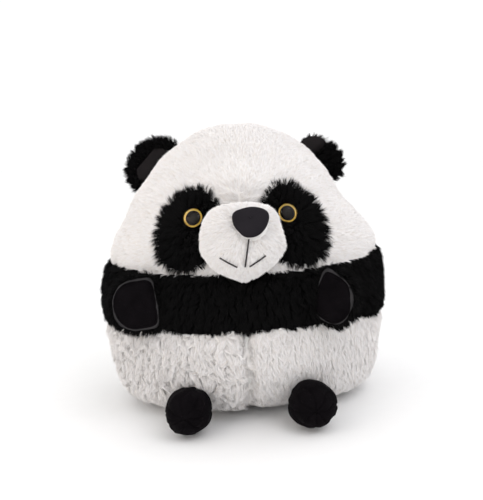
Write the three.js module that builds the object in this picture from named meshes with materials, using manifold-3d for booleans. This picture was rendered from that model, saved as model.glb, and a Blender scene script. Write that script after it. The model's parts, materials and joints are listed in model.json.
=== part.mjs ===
// A round plush panda: a stuffed ball body sewn from pile panels, with two ears, two arms and two feet
// that flex on their seams. Millimetres, +Z up, the panda faces -Y and its own left side is +X.
// The origin is the centre of the flat seat.
import * as THREE from "three";
import { mergeVertices } from "three/addons/utils/BufferGeometryUtils.js";
import Module from "manifold-3d";

// Body
const BODY_WIDTH = 306;
const BODY_HEIGHT = 296;
const DEPTH_RATIO = 0.98; // depth over width
const TUCK = { front: 0.5, back: 0.25, height: 20 }; // how far the bottom draws in towards the seat
const WIDEST_HEIGHT = 112;
const SIDE_TAPER = 0.21; // how much narrower the side is at the floor, as a share of the half width
const EDGE_ROUND = 14; // round between the side and the flat seat
const SKIN = 6; // pile fabric, backing and pile together
const GAP = 0.3; // between two sewn pieces
const SEAT_RADIUS = 98; // of the round base panel

// Black band around the body
const BAND_BOTTOM = 98;
const BAND_TOP = 156;

// Muzzle and nose
const MUZZLE = { width: 80, depth: 76, height: 78, z: 185, proud: 4 };
const NOSE = { width: 35, top: 12, tip: 17, thickness: 9, bevel: 3.6, x: 8.5, z: 208, pitch: 33, sunk: 4.5 };
const THREAD = { thickness: 1.1, width: 1.4 };
const MOUTH = { top: [6, 192], bottom: [1.5, 167], smileSpan: 15, smileRise: 9, smileGap: 5.5 };

// Eye patches and eyes
const PATCH = { width: 70, height: 78, x: 53, z: 196, tilt: -6 };
const EYE = { radius: 9, pupilRadius: 6, x: 45.5, z: 208, yaw: 16, pitch: 20, sunk: 3, dome: 4.5 };
const EYE_OPENING = 20; // how far in front of the patch the eye's room is kept clear
const IRIS_THICKNESS = 1.6;
const POST = { radius: 2, length: 15 };
const WASHER = { radius: 10, thickness: 1.6, depth: 11 };

// Ears, hinged on the line where they are sewn to the head
const EAR = { halfWidth: 34, reach: 27, thickness: 15, root: 8, z: 251, y: 6, lean: 46, flex: 22 };

// Arms, hinged on a vertical seam on the band
const ARM = { length: 42, height: 54, thickness: 20, root: 4, skin: 2.6 };
const ARM_PLACES = {
  left: { z: 137, around: 28.5, heading: 46, droop: 28 },
  right: { z: 131, around: 34, heading: 84, droop: 5 },
};
const ARM_FLEX = { forward: 28, back: 14 };

// Feet, hinged on a level seam low on the front
const FOOT = { width: 47, length: 56, height: 47, x: 54.5, z: 32, out: 24, down: 7.5, skin: 2.6 };
const FOOT_FLEX = { lift: 16, drop: 8 };

const FLEX_CLEARANCE = 1.2; // kept between a limb and its dimple over the whole flex
const FLEX_STEP = 11; // degrees between the poses that shape a dimple
const ROUND_STEPS = 36; // around the body
const LIMB_STEPS = 10;
const MUZZLE_STEPS = 16;
const EYE_STEPS = 12;
const CORE = 80; // seam prisms start this far in front of the body's axis
const FAR = 400; // larger than anything on the panda
const SIDES = { left: 1, right: -1 };

const COLOURS = {
  white: { color: 0xe8e4de, roughness: 0.95 },
  black: { color: 0x100f10, roughness: 0.95 },
  velboa: { color: 0x232025, roughness: 0.85 },
  fibre: { color: 0xf4f4f0, roughness: 1 },
  lens: { color: 0xf2f2f2, roughness: 0.05 },
  gold: { color: 0xb8902c, roughness: 0.35, metalness: 0.4 },
  pupil: { color: 0x120a06, roughness: 0.25 },
  washer: { color: 0xd8d8d4, roughness: 0.5 },
  thread: { color: 0x201c20, roughness: 0.7 },
};

const wasm = await Module();
wasm.setup();

const radians = THREE.MathUtils.degToRad;

/** A closed three.js geometry as a solid, with points that coincide joined and flat triangles dropped. */
function solid(geometry, matrix = new THREE.Matrix4()) {
  const bare = new THREE.BufferGeometry();
  bare.setAttribute("position", geometry.attributes.position.clone());
  bare.setIndex(geometry.index);
  const welded = mergeVertices(bare.applyMatrix4(matrix), 1e-3);
  const corners = [];
  for (let i = 0; i < welded.index.count; i += 3) {
    const [a, b, c] = [0, 1, 2].map((k) => welded.index.getX(i + k));
    if (a !== b && b !== c && c !== a) {
      corners.push(a, b, c);
    }
  }
  return new wasm.Manifold(
    new wasm.Mesh({
      numProp: 3,
      vertProperties: new Float32Array(welded.attributes.position.array),
      triVerts: new Uint32Array(corners),
    }),
  );
}

/** A solid's surface as a three.js geometry. */
function surface(shape) {
  const { vertProperties, triVerts } = shape.getMesh();
  const geometry = new THREE.BufferGeometry();
  geometry.setAttribute("position", new THREE.BufferAttribute(new Float32Array(vertProperties), 3));
  geometry.setIndex(new THREE.BufferAttribute(new Uint32Array(triVerts), 1));
  geometry.computeVertexNormals();
  return geometry;
}

/** A named mesh of one piece. */
function piece(name, shape, finish) {
  const mesh = new THREE.Mesh(surface(shape), new THREE.MeshStandardMaterial(COLOURS[finish]));
  mesh.name = name;
  return mesh;
}

/** A matrix from a position, turns about X, Y and Z in degrees, and a scale. */
function placed(position, turns = [0, 0, 0], scale = [1, 1, 1]) {
  const euler = new THREE.Euler(...turns.map(radians), "ZYX");
  return new THREE.Matrix4().compose(
    new THREE.Vector3(...position),
    new THREE.Quaternion().setFromEuler(euler),
    new THREE.Vector3(...scale),
  );
}

/** A box between two corners. */
function box(low, high) {
  const size = high.map((value, axis) => value - low[axis]);
  const centre = high.map((value, axis) => (value + low[axis]) / 2);
  return solid(new THREE.BoxGeometry(...size), placed(centre));
}

/** An ellipsoid with half sizes along X, Y and Z, in the frame of a matrix. */
function ellipsoid(halves, frame, steps) {
  const ball = new THREE.SphereGeometry(1, steps, Math.round(steps * 0.6));
  ball.rotateX(Math.PI / 2);
  return solid(ball, frame.clone().scale(new THREE.Vector3(...halves)));
}

/** A closed lathe about the Z axis, from [radius, height] points going up its outside. */
function lathed(points, steps) {
  const lathe = new THREE.LatheGeometry(points.map(([r, z]) => new THREE.Vector2(r, z)), steps);
  return lathe.rotateX(Math.PI / 2);
}

/** A solid of revolution about the Z axis of a frame. */
function turned(points, frame, steps) {
  return solid(lathed(points, steps), frame);
}

/** An oval prism that reaches from one distance to another along -Y of a frame. */
function ovalPrism(halfWidth, halfHeight, from, to, frame) {
  const rod = new THREE.CylinderGeometry(1, 1, to - from, ROUND_STEPS);
  rod.translate(0, -(from + to) / 2, 0);
  return solid(rod, frame.clone().scale(new THREE.Vector3(halfWidth, 1, halfHeight)));
}

/** The union of a list of solids. */
function joined(shapes) {
  return shapes.reduce((whole, next) => whole.add(next));
}

/** Half width of the body at a height, for a body drawn in by an inset all round. */
function bodyRadius(z, inset = 0) {
  const half = BODY_WIDTH / 2 - inset;
  if (z >= WIDEST_HEIGHT) {
    const up = (z - WIDEST_HEIGHT) / (BODY_HEIGHT - inset - WIDEST_HEIGHT);
    return half * Math.pow(Math.max(0, 1 - Math.pow(up, 1.7)), 1 / 1.9);
  }
  const down = (WIDEST_HEIGHT - z) / (WIDEST_HEIGHT - inset);
  const side = half * (1 - SIDE_TAPER * Math.pow(down, 1.8));
  const below = Math.max(0, (EDGE_ROUND - z + inset) / EDGE_ROUND);
  return side - EDGE_ROUND * (1 - Math.sqrt(1 - Math.min(1, below * below)));
}

/** Depth over width of the body at a height, on the front (y below 0) or the back. */
function depthShare(y, z) {
  const tuck = y < 0 ? TUCK.front : TUCK.back;
  return DEPTH_RATIO - tuck * Math.exp(-Math.max(0, z) / TUCK.height);
}

/** A round form about the body's axis, flattened front to back as the body is at each height. */
function flattened(points, heightOf) {
  const form = lathed(points, ROUND_STEPS);
  const place = form.attributes.position;
  for (let i = 0; i < place.count; i += 1) {
    place.setY(i, place.getY(i) * depthShare(place.getY(i), heightOf(place.getZ(i))));
  }
  return solid(form);
}

/** The body ball without its muzzle, drawn in by an inset. */
function bodyBall(inset) {
  const points = [[0, inset]];
  for (const turn of [0, 30, 60, 90]) {
    const z = inset + EDGE_ROUND * (1 - Math.cos(radians(turn)));
    points.push([bodyRadius(z, inset), z]);
  }
  for (const share of [0.1, 0.25, 0.45, 0.7]) {
    const z = THREE.MathUtils.lerp(inset + EDGE_ROUND, WIDEST_HEIGHT, share);
    points.push([bodyRadius(z, inset), z]);
  }
  const top = BODY_HEIGHT - inset;
  for (let turn = 0; turn < 90; turn += 10) {
    const z = THREE.MathUtils.lerp(WIDEST_HEIGHT, top, Math.sin(radians(turn)));
    points.push([bodyRadius(z, inset), z]);
  }
  points.push([0, top]);
  return flattened(points, (z) => z);
}

/** A point on the body's outside at a height and an angle around from the front, towards +X. */
function onBody(z, around) {
  const r = bodyRadius(z);
  return [r * Math.sin(radians(around)), -r * Math.cos(radians(around)) * depthShare(-1, z), z];
}

/** The angle around from the front of a point on the body at an X and a height. */
function aroundAt(x, z) {
  return THREE.MathUtils.radToDeg(Math.asin(x / bodyRadius(z)));
}

const muzzleY = -bodyRadius(MUZZLE.z) * depthShare(-1, MUZZLE.z) - MUZZLE.proud;

/** The muzzle's ellipsoid, grown by a thickness all round. */
function muzzleBulge(grown) {
  const halves = [MUZZLE.width / 2 + grown, MUZZLE.depth / 2 + grown, MUZZLE.height / 2 + grown];
  return ellipsoid(halves, placed([0, muzzleY, MUZZLE.z]), MUZZLE_STEPS);
}

/** Body and muzzle in one, drawn in by an inset. */
function bodyForm(inset) {
  return bodyBall(inset).add(muzzleBulge(-inset));
}

/** The seam outline of the muzzle panel as a prism, grown by a thickness. */
function muzzleZone(grown) {
  const margin = 1 + grown;
  const frame = placed([0, 0, MUZZLE.z]);
  return ovalPrism(MUZZLE.width / 2 + margin, MUZZLE.height / 2 + margin, CORE, FAR, frame);
}

/** The seat's outline as an upright prism, grown by a thickness. */
function seatZone(grown) {
  const r = SEAT_RADIUS + grown;
  return flattened([[0, -1], [r, -1], [r, EDGE_ROUND], [0, EDGE_ROUND]], () => 0);
}

/** The seam outline of an eye patch as a prism, grown by a thickness. */
function patchZone(side, grown) {
  const frame = placed([0, 0, PATCH.z], [0, 0, side * aroundAt(PATCH.x, PATCH.z)]);
  frame.multiply(placed([0, 0, 0], [0, side * PATCH.tilt, 0]));
  return ovalPrism(PATCH.width / 2 + grown, PATCH.height / 2 + grown, CORE, FAR, frame);
}

/** The frame of an eye: on the body's outside, with +Z looking out along the eye's axis. */
function eyeFrame(side) {
  const at = onBody(EYE.z, side * aroundAt(EYE.x, EYE.z));
  return placed(at, [0, 0, side * EYE.yaw]).multiply(placed([0, 0, 0], [90 - EYE.pitch, 0, 0]));
}

/** The room that an eye takes out of the patch and the fibre behind it. */
function eyeRoom(side) {
  const frame = eyeFrame(side);
  const wide = EYE.radius + GAP;
  const narrow = POST.radius + GAP;
  const ring = WASHER.radius + GAP;
  const back = -EYE.sunk - GAP;
  const end = -EYE.sunk - POST.length - GAP;
  const ringTop = GAP - WASHER.depth + WASHER.thickness;
  const ringBottom = -WASHER.depth - GAP;
  const points = [
    [0, end],
    [narrow, end],
    [narrow, ringBottom],
    [ring, ringBottom],
    [ring, ringTop],
    [narrow, ringTop],
    [narrow, back],
    [wide, back],
    [wide, EYE_OPENING],
    [0, EYE_OPENING],
  ];
  return turned(points, frame, EYE_STEPS);
}

/** An eye's four parts, drawn about +Z of the eye's own group. */
function eye(name, side) {
  const still = new THREE.Matrix4();
  const base = -EYE.sunk;
  const front = base + IRIS_THICKNESS;
  const dome = [[0, front + GAP], [EYE.radius, front + GAP]];
  for (const turn of [0, 22, 44, 66]) {
    dome.push([
      EYE.radius * Math.cos(radians(turn)),
      front + GAP + 1 + EYE.dome * Math.sin(radians(turn)),
    ]);
  }
  dome.push([0, front + GAP + 1 + EYE.dome]);
  const iris = [
    [EYE.pupilRadius + GAP, base],
    [EYE.radius, base],
    [EYE.radius, front],
    [EYE.pupilRadius + GAP, front],
    [EYE.pupilRadius + GAP, base],
  ];
  const pupil = [
    [0, base - POST.length],
    [POST.radius, base - POST.length],
    [POST.radius, base],
    [EYE.pupilRadius, base],
    [EYE.pupilRadius, front],
    [0, front],
  ];
  const washer = [
    [POST.radius + GAP, -WASHER.depth],
    [WASHER.radius, -WASHER.depth],
    [WASHER.radius, WASHER.thickness - WASHER.depth],
    [POST.radius + GAP, WASHER.thickness - WASHER.depth],
    [POST.radius + GAP, -WASHER.depth],
  ];
  const group = new THREE.Group();
  eyeFrame(side).decompose(group.position, group.quaternion, group.scale);
  group.add(
    piece(`eye_${name}_lens`, turned(dome, still, EYE_STEPS), "lens"),
    piece(`eye_${name}_iris`, turned(iris, still, EYE_STEPS), "gold"),
    piece(`eye_${name}_pupil_post`, turned(pupil, still, EYE_STEPS), "pupil"),
    piece(`eye_${name}_washer`, turned(washer, still, EYE_STEPS), "washer"),
  );
  return group;
}

/** The nose pad: a padded rounded triangle on the upper front of the muzzle, grown by a thickness. */
function nosePad(grown) {
  const half = NOSE.width / 2 + grown;
  const top = NOSE.top + grown;
  const tip = -NOSE.tip - grown;
  const outline = new THREE.Shape();
  outline.moveTo(0, top);
  outline.bezierCurveTo(half * 0.8, top, half, top * 0.9, half, top * 0.25);
  outline.bezierCurveTo(half, tip * 0.35, half * 0.35, tip, 0, tip);
  outline.bezierCurveTo(-half * 0.35, tip, -half, tip * 0.35, -half, top * 0.25);
  outline.bezierCurveTo(-half, top * 0.9, -half * 0.8, top, 0, top);
  const { bevel } = NOSE;
  const pad = new THREE.ExtrudeGeometry(outline, {
    depth: NOSE.thickness + 2 * grown - 2 * bevel,
    bevelThickness: bevel,
    bevelSize: bevel,
    bevelOffset: -bevel,
    bevelSegments: 2,
    curveSegments: 4,
  });
  pad.translate(0, 0, bevel - grown - NOSE.sunk);
  const lift = (NOSE.z - MUZZLE.z) / (MUZZLE.height / 2);
  const aside = NOSE.x / (MUZZLE.width / 2);
  const y = muzzleY - (MUZZLE.depth / 2) * Math.sqrt(1 - lift * lift - aside * aside);
  return solid(pad, placed([NOSE.x, y, NOSE.z], [90 - NOSE.pitch, 0, 0]));
}

/** Mouth threads: strips cut from a thin layer lying on the muzzle. */
function mouthThread(from, to) {
  const layer = muzzleBulge(GAP + THREAD.thickness).subtract(muzzleBulge(GAP));
  const run = [to[0] - from[0], to[1] - from[1]];
  const length = Math.hypot(...run);
  const strip = new THREE.BoxGeometry(length, FAR, THREAD.width);
  const lean = -THREE.MathUtils.radToDeg(Math.atan2(run[1], run[0]));
  const middle = [(from[0] + to[0]) / 2, muzzleY - FAR / 2, (from[1] + to[1]) / 2];
  return layer.intersect(solid(strip, placed(middle, [0, lean, 0])));
}

/** An ear's frame: X along the sewn line, Y through the thickness, Z out of the head. */
function earFrame(side) {
  const at = [side * bodyRadius(EAR.z), EAR.y, EAR.z];
  return placed(at, [0, side * EAR.lean, 0]);
}

/** An ear's full form in its own frame, grown by a thickness. */
function earForm(grown) {
  const halves = [EAR.halfWidth + grown, EAR.thickness / 2 + grown, EAR.reach + grown];
  const whole = ellipsoid(halves, new THREE.Matrix4(), LIMB_STEPS + 4);
  return whole.intersect(box([-FAR, -FAR, -EAR.root - grown], [FAR, FAR, FAR]));
}

/** Plush back and smooth lining of an ear, sewn together round the rim. */
function ear(name, side) {
  const form = earForm(0);
  const back = form.intersect(box([-FAR, GAP / 2, -FAR], [FAR, FAR, FAR]));
  const lining = form.intersect(box([-FAR, -FAR, -FAR], [FAR, -GAP / 2, FAR]));
  const group = new THREE.Group();
  earFrame(side).decompose(group.position, group.quaternion, group.scale);
  group.add(piece(`ear_${name}_back`, back, "black"), piece(`ear_${name}_lining`, lining, "velboa"));
  return group;
}

/** An arm's frame: Z up along the hinge seam, X out to the tip, palm on -Y for the left arm. */
function armFrame(side, name) {
  const { z, around, heading, droop } = ARM_PLACES[name];
  const turn = side > 0 ? heading - 90 : -90 - heading;
  return placed(onBody(z, side * around), [0, 0, turn]).multiply(placed([0, 0, 0], [0, droop, 0]));
}

/** An arm's flat stuffed pad in its own frame, drawn in by an inset. */
function armForm(inset) {
  const halves = [ARM.length / 2 + ARM.root / 2, ARM.thickness / 2, ARM.height / 2];
  const middle = placed([ARM.length / 2 - ARM.root / 2, 0, 0]);
  return ellipsoid(halves.map((half) => half - inset), middle, LIMB_STEPS);
}

/** A foot's frame: X along the hinge seam, -Y out to the toe. */
function footFrame(side) {
  const around = aroundAt(FOOT.x, FOOT.z);
  return placed(onBody(FOOT.z, side * around), [0, 0, (side * around) / 2]);
}

/** A foot's round stuffed stub in its own frame, drawn in by an inset. */
function footForm(inset) {
  const halves = [FOOT.width / 2, FOOT.length / 2, FOOT.height / 2];
  return ellipsoid(halves.map((half) => half - inset), placed([0, -FOOT.out, -FOOT.down]), LIMB_STEPS);
}

/** A stuffed limb in its own group: skins that meet on seam planes, and the fibre inside. */
function stuffedLimb(name, frame, form, skin, panels) {
  const wall = form(0).subtract(form(skin));
  const group = new THREE.Group();
  frame.decompose(group.position, group.quaternion, group.scale);
  for (const { panel, region, finish } of panels) {
    group.add(piece(`${name}_${panel}`, wall.intersect(region), finish));
  }
  group.add(piece(`${name}_stuffing`, form(skin + GAP), "fibre"));
  return group;
}

/** Everything a limb passes through as it flexes, in the body's frame. */
function flexRoom(frame, form, axis, from, to) {
  const steps = Math.ceil((to - from) / FLEX_STEP);
  const shapes = [];
  for (let step = 0; step <= steps; step += 1) {
    const turn = THREE.MathUtils.lerp(from, to, step / steps);
    const turns = axis.map((share) => share * turn);
    shapes.push(form(-FLEX_CLEARANCE).transform(frame.clone().multiply(placed([0, 0, 0], turns)).elements));
  }
  return joined(shapes);
}

const panda = new THREE.Group();

const rooms = { ears: [], arms: [], feet: [], eyes: [] };
for (const [name, side] of Object.entries(SIDES)) {
  const swing = side > 0 ? [-ARM_FLEX.forward, ARM_FLEX.back] : [-ARM_FLEX.back, ARM_FLEX.forward];
  rooms.ears.push(flexRoom(earFrame(side), (inset) => earForm(-inset), [1, 0, 0], -EAR.flex, EAR.flex));
  rooms.arms.push(flexRoom(armFrame(side, name), armForm, [0, 0, 1], ...swing));
  rooms.feet.push(flexRoom(footFrame(side), footForm, [1, 0, 0], -FOOT_FLEX.lift, FOOT_FLEX.drop));
  rooms.eyes.push(eyeRoom(side));
}
const allRooms = joined(Object.values(rooms).flat());

const shell = bodyForm(0).subtract(bodyForm(SKIN)).subtract(allRooms).subtract(nosePad(GAP));
const fibre = bodyForm(SKIN + GAP).subtract(allRooms);
const half = GAP / 2;
const muzzlePanel = muzzleZone(0);
const muzzleCut = muzzleZone(GAP);
const seatCut = seatZone(GAP);

panda.add(piece("body_stuffing", fibre, "fibre"));
panda.add(piece("base_panel", shell.intersect(seatZone(0)), "white"));
panda.add(piece("muzzle_panel", shell.intersect(muzzlePanel), "white"));
panda.add(piece("nose_pad", nosePad(0), "velboa"));

const front = { low: -FAR, high: -half };
const back = { low: half, high: FAR };
for (const [name, span] of Object.entries({ front, back })) {
  const zone = box([-FAR, span.low, BAND_BOTTOM], [FAR, span.high, BAND_TOP]);
  panda.add(piece(`band_${name}`, shell.intersect(zone).subtract(muzzleCut), "black"));
}

for (const [name, side] of Object.entries(SIDES)) {
  const low = side > 0 ? half : -FAR;
  const high = side > 0 ? FAR : -half;
  const patchCut = patchZone(side, GAP);
  const aboveBand = box([-FAR, -FAR, BAND_TOP + GAP], [FAR, FAR, FAR]);
  for (const [place, span] of Object.entries({ front, back })) {
    const head = box([low, span.low, BAND_TOP + GAP], [high, span.high, FAR]);
    const lower = box([low, span.low, -1], [high, span.high, BAND_BOTTOM - GAP]);
    const headSkin = shell.intersect(head).subtract(muzzleCut);
    const cut = place === "front" ? headSkin.subtract(patchCut) : headSkin;
    panda.add(piece(`head_${place}_${name}`, cut, "white"));
    panda.add(piece(`lower_${place}_${name}`, shell.intersect(lower).subtract(seatCut), "white"));
  }
  const patch = shell.intersect(patchZone(side, 0)).intersect(aboveBand).subtract(muzzleCut);
  panda.add(piece(`eye_patch_${name}`, patch, "black"));
  panda.add(eye(name, side));
  panda.add(ear(name, side));

  const ahead = box([-FAR, -FAR, -FAR], [FAR, -half, FAR]);
  const behind = box([-FAR, half, -FAR], [FAR, FAR, FAR]);
  const [palm, armBack] = side > 0 ? [ahead, behind] : [behind, ahead];
  panda.add(stuffedLimb(`arm_${name}`, armFrame(side, name), armForm, ARM.skin, [
    { panel: "back", region: armBack, finish: "black" },
    { panel: "palm", region: palm, finish: "velboa" },
  ]));
  const above = box([-FAR, -FAR, half - FOOT.down], [FAR, FAR, FAR]);
  const below = box([-FAR, -FAR, -FAR], [FAR, FAR, -half - FOOT.down]);
  panda.add(stuffedLimb(`foot_${name}`, footFrame(side), footForm, FOOT.skin, [
    { panel: "upper", region: above, finish: "velboa" },
    { panel: "sole", region: below, finish: "velboa" },
  ]));

  const smileBottom = MOUTH.bottom[1];
  const smile = mouthThread(
    [side * MOUTH.smileGap, smileBottom],
    [side * (MOUTH.smileGap + MOUTH.smileSpan), smileBottom + MOUTH.smileRise],
  );
  panda.add(piece(`mouth_thread_${name}`, smile, "thread"));
}
const centreThread = mouthThread(MOUTH.bottom, MOUTH.top);
panda.add(piece("mouth_thread_centre", centreThread, "thread"));

export default panda;
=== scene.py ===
import json
import logging
import math
from dataclasses import dataclass, field
from enum import Enum
from itertools import product
from typing import Callable, Iterable, Optional

import bpy
import numpy as np
from mathutils import Matrix, Vector

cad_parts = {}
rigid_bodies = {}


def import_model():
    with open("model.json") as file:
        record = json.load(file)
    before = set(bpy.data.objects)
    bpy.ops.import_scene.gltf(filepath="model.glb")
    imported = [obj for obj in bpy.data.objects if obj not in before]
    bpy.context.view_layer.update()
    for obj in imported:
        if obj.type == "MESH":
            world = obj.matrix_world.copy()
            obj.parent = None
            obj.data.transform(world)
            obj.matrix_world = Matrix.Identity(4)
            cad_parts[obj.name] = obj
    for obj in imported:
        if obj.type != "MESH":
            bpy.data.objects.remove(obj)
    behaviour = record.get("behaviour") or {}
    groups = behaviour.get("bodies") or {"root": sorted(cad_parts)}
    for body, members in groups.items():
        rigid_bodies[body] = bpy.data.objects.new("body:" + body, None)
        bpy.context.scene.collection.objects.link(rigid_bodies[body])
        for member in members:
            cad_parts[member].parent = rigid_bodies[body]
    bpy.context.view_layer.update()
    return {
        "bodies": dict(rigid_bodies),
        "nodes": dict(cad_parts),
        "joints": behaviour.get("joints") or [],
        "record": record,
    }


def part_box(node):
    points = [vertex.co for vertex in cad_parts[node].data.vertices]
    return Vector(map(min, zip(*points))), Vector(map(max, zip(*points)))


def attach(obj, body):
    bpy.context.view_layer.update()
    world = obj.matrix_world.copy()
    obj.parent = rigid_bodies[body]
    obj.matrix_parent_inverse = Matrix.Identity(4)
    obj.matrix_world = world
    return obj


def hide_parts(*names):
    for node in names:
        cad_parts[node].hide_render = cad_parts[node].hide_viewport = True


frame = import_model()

Array = np.ndarray
Colour = tuple[float, float, float]
Spot = tuple[float, float, float]
Object = bpy.types.Object
Material = bpy.types.Material
Pieces = dict[str, list[Object]]
MM = 0.001
WIDE = 10.0
LOG = logging.getLogger("panda")


class Side(Enum):
    """The panda's own left and right. The value is the sign of X."""

    LEFT = 1
    RIGHT = -1

    @property
    def word(self) -> str:
        """Lower-case name used in piece names."""
        return self.name.lower()


class Slot(Enum):
    """Material slots of the record."""

    WHITE = "white_pile"
    BLACK = "black_pile"
    SMOOTH = "smooth_black"
    FIBRE = "fibre"
    LENS = "eye_lens"
    GOLD = "eye_gold"
    DARK = "eye_dark"
    WASHER = "washer"
    THREAD = "thread"


STUFFED = (Slot.WHITE, Slot.BLACK, Slot.SMOOTH, Slot.FIBRE)
FLOOR_GAP = 0.2 * MM
SHADE_SHARES = (0.45, 0.35, 0.2)
CORE_GRID = (24, 36)


# ---------------------------------------------------------------- small maths


def unit(vectors: Array) -> Array:
    """Vectors scaled to length one."""
    return vectors / np.maximum(np.linalg.norm(vectors, axis=-1, keepdims=True), 1e-12)


def dot(a: Array, b: Array) -> Array:
    """Row by row dot product, kept as a column."""
    return (a * b).sum(-1, keepdims=True)


def smooth(low: float, high: float, value: Array) -> Array:
    """Smooth step from 0 at low to 1 at high."""
    share = np.clip((value - low) / (high - low), 0.0, 1.0)
    return share * share * (3.0 - 2.0 * share)


def hashed(cells: Array, seed: int) -> Array:
    """Three repeatable random numbers for each integer cell.

    Args:
        cells: Whole-number cells, one row each.
        seed: Which family of numbers to give.

    Returns:
        Numbers from 0 to 1, three to a row.
    """
    mixed = cells.astype(np.int64).astype(np.uint64)
    key = mixed[:, 0] * np.uint64(73856093) ^ mixed[:, 1] * np.uint64(19349663)
    key = key ^ mixed[:, 2] * np.uint64(83492791) ^ np.uint64(seed * 2654435761)
    columns = []
    for _ in range(3):
        key = key * np.uint64(6364136223846793005) + np.uint64(1442695040888963407)
        key = key ^ (key >> np.uint64(29))
        columns.append((key >> np.uint64(20)).astype(np.float64) / 2.0**44)
    return np.stack(columns, axis=1)


def tufts(points: Array, size: float, seed: int) -> tuple[Array, Array]:
    """Groups points round scattered tuft centres.

    Args:
        points: Root points, one row each.
        size: Usual spacing of the centres.
        seed: Which scatter to use.

    Returns:
        The nearest centre of each point, and a random vector (-1 to 1) shared by each tuft.
    """
    home = np.floor(points / size).astype(np.int64)
    best = np.full(len(points), np.inf)
    centres = np.zeros_like(points)
    owners = np.zeros_like(home)
    for step in product((-1, 0, 1), repeat=3):
        cell = home + np.array(step)
        centre = (cell + hashed(cell, seed)) * size
        gap = ((centre - points) ** 2).sum(1)
        nearer = gap < best
        best[nearer] = gap[nearer]
        centres[nearer] = centre[nearer]
        owners[nearer] = cell[nearer]
    return centres, hashed(owners, seed + 1) * 2.0 - 1.0


def waves(points: Array, size: float, seed: int, count: int = 7) -> Array:
    """Smooth lumps: a sum of sine waves in scattered directions.

    Args:
        points: Points, one row each.
        size: Usual length of a wave.
        seed: Which lumps to give.
        count: How many waves are summed.

    Returns:
        A height from about -1 to 1 for each point.
    """
    rng = np.random.default_rng(seed)
    total = np.zeros(len(points))
    for _ in range(count):
        heading = unit(rng.normal(size=3)) * 2.0 * math.pi / (size * rng.uniform(0.7, 1.6))
        total += np.sin(points @ heading + rng.uniform(0.0, 6.28))
    return total / math.sqrt(count)


# ---------------------------------------------------------------- meshes


def make_object(
    name: str, points: Array, corners: Array, counts: Array, materials: Iterable[Material],
    slots: Optional[Array] = None,
) -> Object:
    """Makes a smooth-shaded mesh object from arrays.

    Args:
        name: Object name.
        points: Vertex places.
        corners: Vertex numbers of all faces, one after the other.
        counts: How many corners each face has.
        materials: The materials of the object.
        slots: Which material each face has, all the first where left out.

    Returns:
        The new object, linked to the scene.
    """
    mesh = bpy.data.meshes.new(name)
    mesh.vertices.add(len(points))
    mesh.vertices.foreach_set("co", np.ascontiguousarray(points, np.float32).ravel())
    mesh.loops.add(len(corners))
    mesh.loops.foreach_set("vertex_index", np.ascontiguousarray(corners, np.int32).ravel())
    mesh.polygons.add(len(counts))
    starts = np.concatenate(([0], np.cumsum(counts)[:-1])).astype(np.int32)
    mesh.polygons.foreach_set("loop_start", starts)
    for material in materials:
        mesh.materials.append(material)
    if slots is not None:
        mesh.polygons.foreach_set("material_index", slots.astype(np.int32))
    mesh.polygons.foreach_set("use_smooth", np.ones(len(counts), bool))
    mesh.update(calc_edges=True)
    made = bpy.data.objects.new(name, mesh)
    bpy.context.collection.objects.link(made)
    return made


@dataclass
class Sheet:
    """A grid surface: rows run along the first axis, and columns close round on themselves."""

    points: Array
    normals: Array = field(init=False)

    def __post_init__(self) -> None:
        """Works out the normals."""
        self.refresh()

    def refresh(self) -> None:
        """Works out the outward normals again after the points have moved."""
        along = np.gradient(self.points, axis=0)
        around = np.roll(self.points, -1, axis=1) - np.roll(self.points, 1, axis=1)
        self.normals = unit(np.cross(around, along))
        for row, inner in ((0, 1), (-1, -2)):
            if np.ptp(self.points[row], axis=0).max() < 1e-6:
                self.normals[row] = unit(self.normals[inner].mean(axis=0))

    def push(self, amount: Array) -> None:
        """Moves every point along its normal by an amount."""
        self.points = self.points + self.normals * amount[..., None]
        self.refresh()

    def faces(self) -> Array:
        """Corner numbers of the four-sided faces.

        Returns:
            Four vertex numbers for each face, one row each.
        """
        rows, columns = self.points.shape[:2]
        number = np.arange(rows * columns).reshape(rows, columns)
        after = np.roll(number, -1, axis=1)
        quads = np.stack([number[:-1], after[:-1], after[1:], number[1:]], axis=-1)
        return quads.reshape(-1, 4)

    def centres(self) -> Array:
        """Middle point of each face."""
        return self.points.reshape(-1, 3)[self.faces()].mean(axis=1)

    def object(
        self, name: str, keep: Array, material: Material,
        trim: Optional[Array] = None, edging: Optional[Material] = None,
    ) -> Object:
        """An object of the chosen faces.

        Args:
            name: Object name.
            keep: Which faces are in it.
            material: Its material.
            trim: Which of all the faces take the edging instead.
            edging: The material of those faces.

        Returns:
            The new object.
        """
        quads = self.faces()[keep]
        used, corners = np.unique(quads, return_inverse=True)
        points = self.points.reshape(-1, 3)[used]
        materials = [material] if edging is None else [material, edging]
        slots = None if trim is None else trim[keep]
        return make_object(name, points, corners.ravel(), np.full(len(quads), 4), materials, slots)

    def whole(self, name: str, material: Material) -> Object:
        """An object of all the faces."""
        return self.object(name, np.ones(len(self.faces()), bool), material)

    def scatter(self, keep: Array, density: float, rng: np.random.Generator) -> tuple[Array, Array]:
        """Random points on the chosen faces.

        Args:
            keep: Which faces take points.
            density: Points per square metre.
            rng: Random numbers.

        Returns:
            The points and their normals.
        """
        quads = self.faces()[keep]
        flat = self.points.reshape(-1, 3)
        corner = flat[quads]
        area = np.linalg.norm(np.cross(corner[:, 2] - corner[:, 0], corner[:, 3] - corner[:, 1]), axis=1) / 2.0
        count = int(area.sum() * density)
        chosen = rng.choice(len(quads), size=count, p=area / area.sum())
        s, t = rng.random((2, count, 1))
        weights = ((1 - s) * (1 - t), s * (1 - t), s * t, (1 - s) * t)
        normal = self.normals.reshape(-1, 3)[quads]
        points = sum(w * corner[chosen, i] for i, w in enumerate(weights))
        return points, unit(sum(w * normal[chosen, i] for i, w in enumerate(weights)))


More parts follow.
